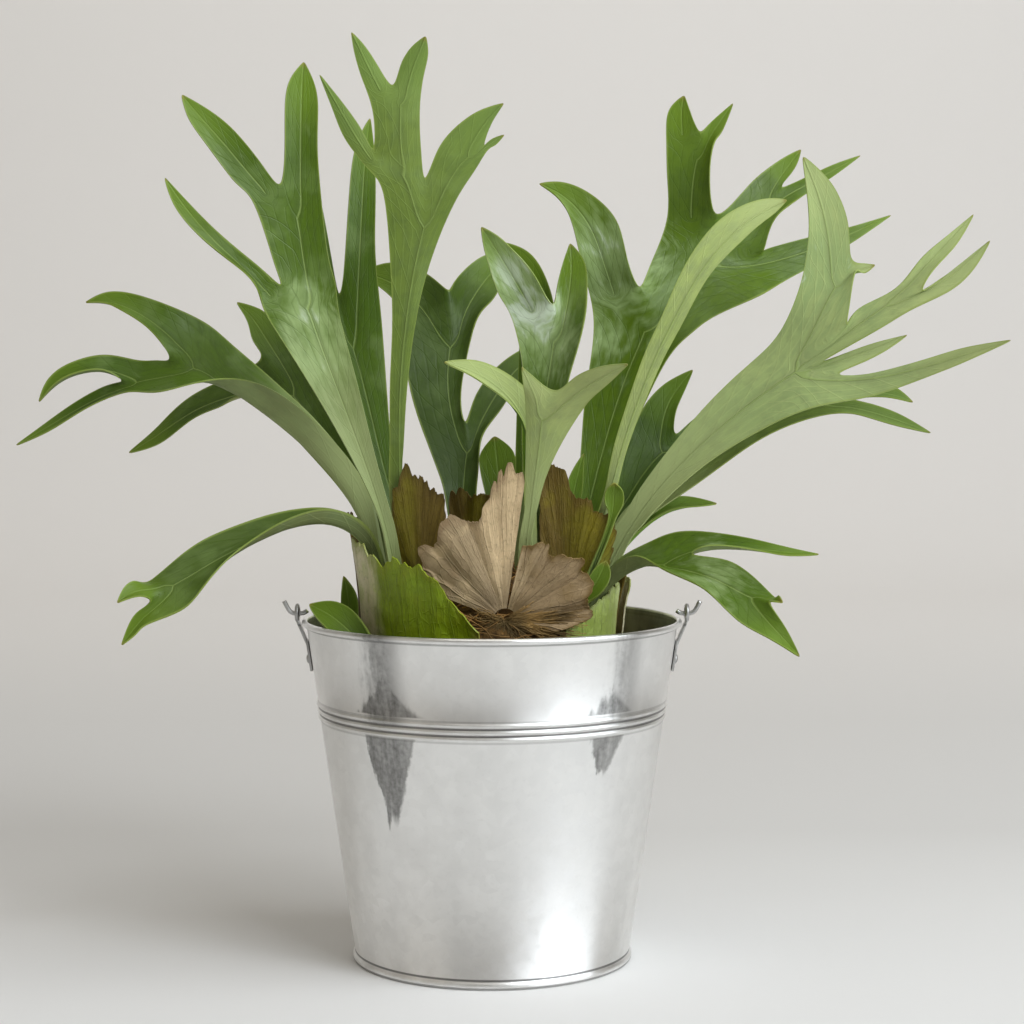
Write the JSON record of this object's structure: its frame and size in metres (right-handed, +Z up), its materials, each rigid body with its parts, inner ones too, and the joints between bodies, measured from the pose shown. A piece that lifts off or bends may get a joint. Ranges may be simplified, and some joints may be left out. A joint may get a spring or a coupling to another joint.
{
  "type": "staghorn fern in a pail",
  "caption": "Staghorn fern with forked strap fronds and papery shields on a root ball, potted in a tapered galvanised pail.",
  "frame": {"origin": "the floor under the centre of the whole plant, on the pail's axis", "axes": "+Z up along the pail's axis, -Y towards the front of the fern, +X to its right as seen from the front"},
  "size_m": [0.5075, 0.2408, 0.481],
  "materials": {
    "ear_left": "zinc-coated, satin",
    "ear_right": "zinc-coated, satin",
    "frond_back_centre": "dark green leaf",
    "frond_centre_behind": "dark green leaf",
    "frond_centre_glossy": "satin green leaf",
    "frond_centre_tongue": "pale grey-green leaf underside",
    "frond_front_small": "pale grey-green leaf underside",
    "frond_left_back": "dark green leaf",
    "frond_left_drooping": "satin green leaf",
    "frond_left_finger": "satin green leaf",
    "frond_left_mid": "satin green leaf",
    "frond_left_tall": "satin green leaf",
    "frond_right_back": "dark green leaf",
    "frond_right_broad": "satin green leaf",
    "frond_right_drooping": "satin green leaf",
    "frond_right_great": "pale grey-green leaf underside",
    "frond_right_leaflet": "fresh green leaf",
    "frond_right_strap": "pale grey-green leaf underside",
    "frond_right_under": "pale grey-green leaf underside",
    "frond_tall_pale": "pale grey-green leaf underside",
    "hook_left": "zinc-coated, satin",
    "hook_right": "zinc-coated, satin",
    "leaf_left_small": "dark green leaf",
    "leaf_over_rim": "dark green leaf",
    "pail_floor": "zinc-coated, satin",
    "pail_wall": "zinc-coated, satin",
    "potting_mix": "loose potting mix",
    "rivet_left": "zinc-coated, satin",
    "rivet_right": "zinc-coated, satin",
    "root_ball": "fibrous root ball",
    "shield_back": "dry papery brown",
    "shield_back_left": "living green shield",
    "shield_back_right": "living green shield",
    "shield_fan_left": "dry papery brown",
    "shield_fan_right": "dry papery brown",
    "shield_front_left": "living green shield",
    "shield_front_right": "fresh green leaf",
    "shield_left_brown": "dry papery brown",
    "shield_left_stub": "dry papery brown",
    "shield_middle": "olive shield",
    "shield_right_olive": "olive shield",
    "shield_right_side": "olive shield",
    "young_curled_lower": "dark green leaf",
    "young_curled_upper": "dark green leaf",
    "young_pointed": "fresh green leaf",
    "young_round_back": "dark green leaf"
  },
  "bodies": {
    "root": {"ear_left": "ear_left", "ear_right": "ear_right", "frond_back_centre": "frond_back_centre", "frond_centre_behind": "frond_centre_behind", "frond_centre_glossy": "frond_centre_glossy", "frond_centre_tongue": "frond_centre_tongue", "frond_front_small": "frond_front_small", "frond_left_back": "frond_left_back", "frond_left_drooping": "frond_left_drooping", "frond_left_finger": "frond_left_finger", "frond_left_mid": "frond_left_mid", "frond_left_tall": "frond_left_tall", "frond_right_back": "frond_right_back", "frond_right_broad": "frond_right_broad", "frond_right_drooping": "frond_right_drooping", "frond_right_great": "frond_right_great", "frond_right_leaflet": "frond_right_leaflet", "frond_right_strap": "frond_right_strap", "frond_right_under": "frond_right_under", "frond_tall_pale": "frond_tall_pale", "hook_left": "hook_left", "hook_right": "hook_right", "leaf_left_small": "leaf_left_small", "leaf_over_rim": "leaf_over_rim", "pail_floor": "pail_floor", "pail_wall": "pail_wall", "potting_mix": "potting_mix", "rivet_left": "rivet_left", "rivet_right": "rivet_right", "root_ball": "root_ball", "shield_back": "shield_back", "shield_back_left": "shield_back_left", "shield_back_right": "shield_back_right", "shield_fan_left": "shield_fan_left", "shield_fan_right": "shield_fan_right", "shield_front_left": "shield_front_left", "shield_front_right": "shield_front_right", "shield_left_brown": "shield_left_brown", "shield_left_stub": "shield_left_stub", "shield_middle": "shield_middle", "shield_right_olive": "shield_right_olive", "shield_right_side": "shield_right_side", "young_curled_lower": "young_curled_lower", "young_curled_upper": "young_curled_upper", "young_pointed": "young_pointed", "young_round_back": "young_round_back"}
  },
  "joints": []
}
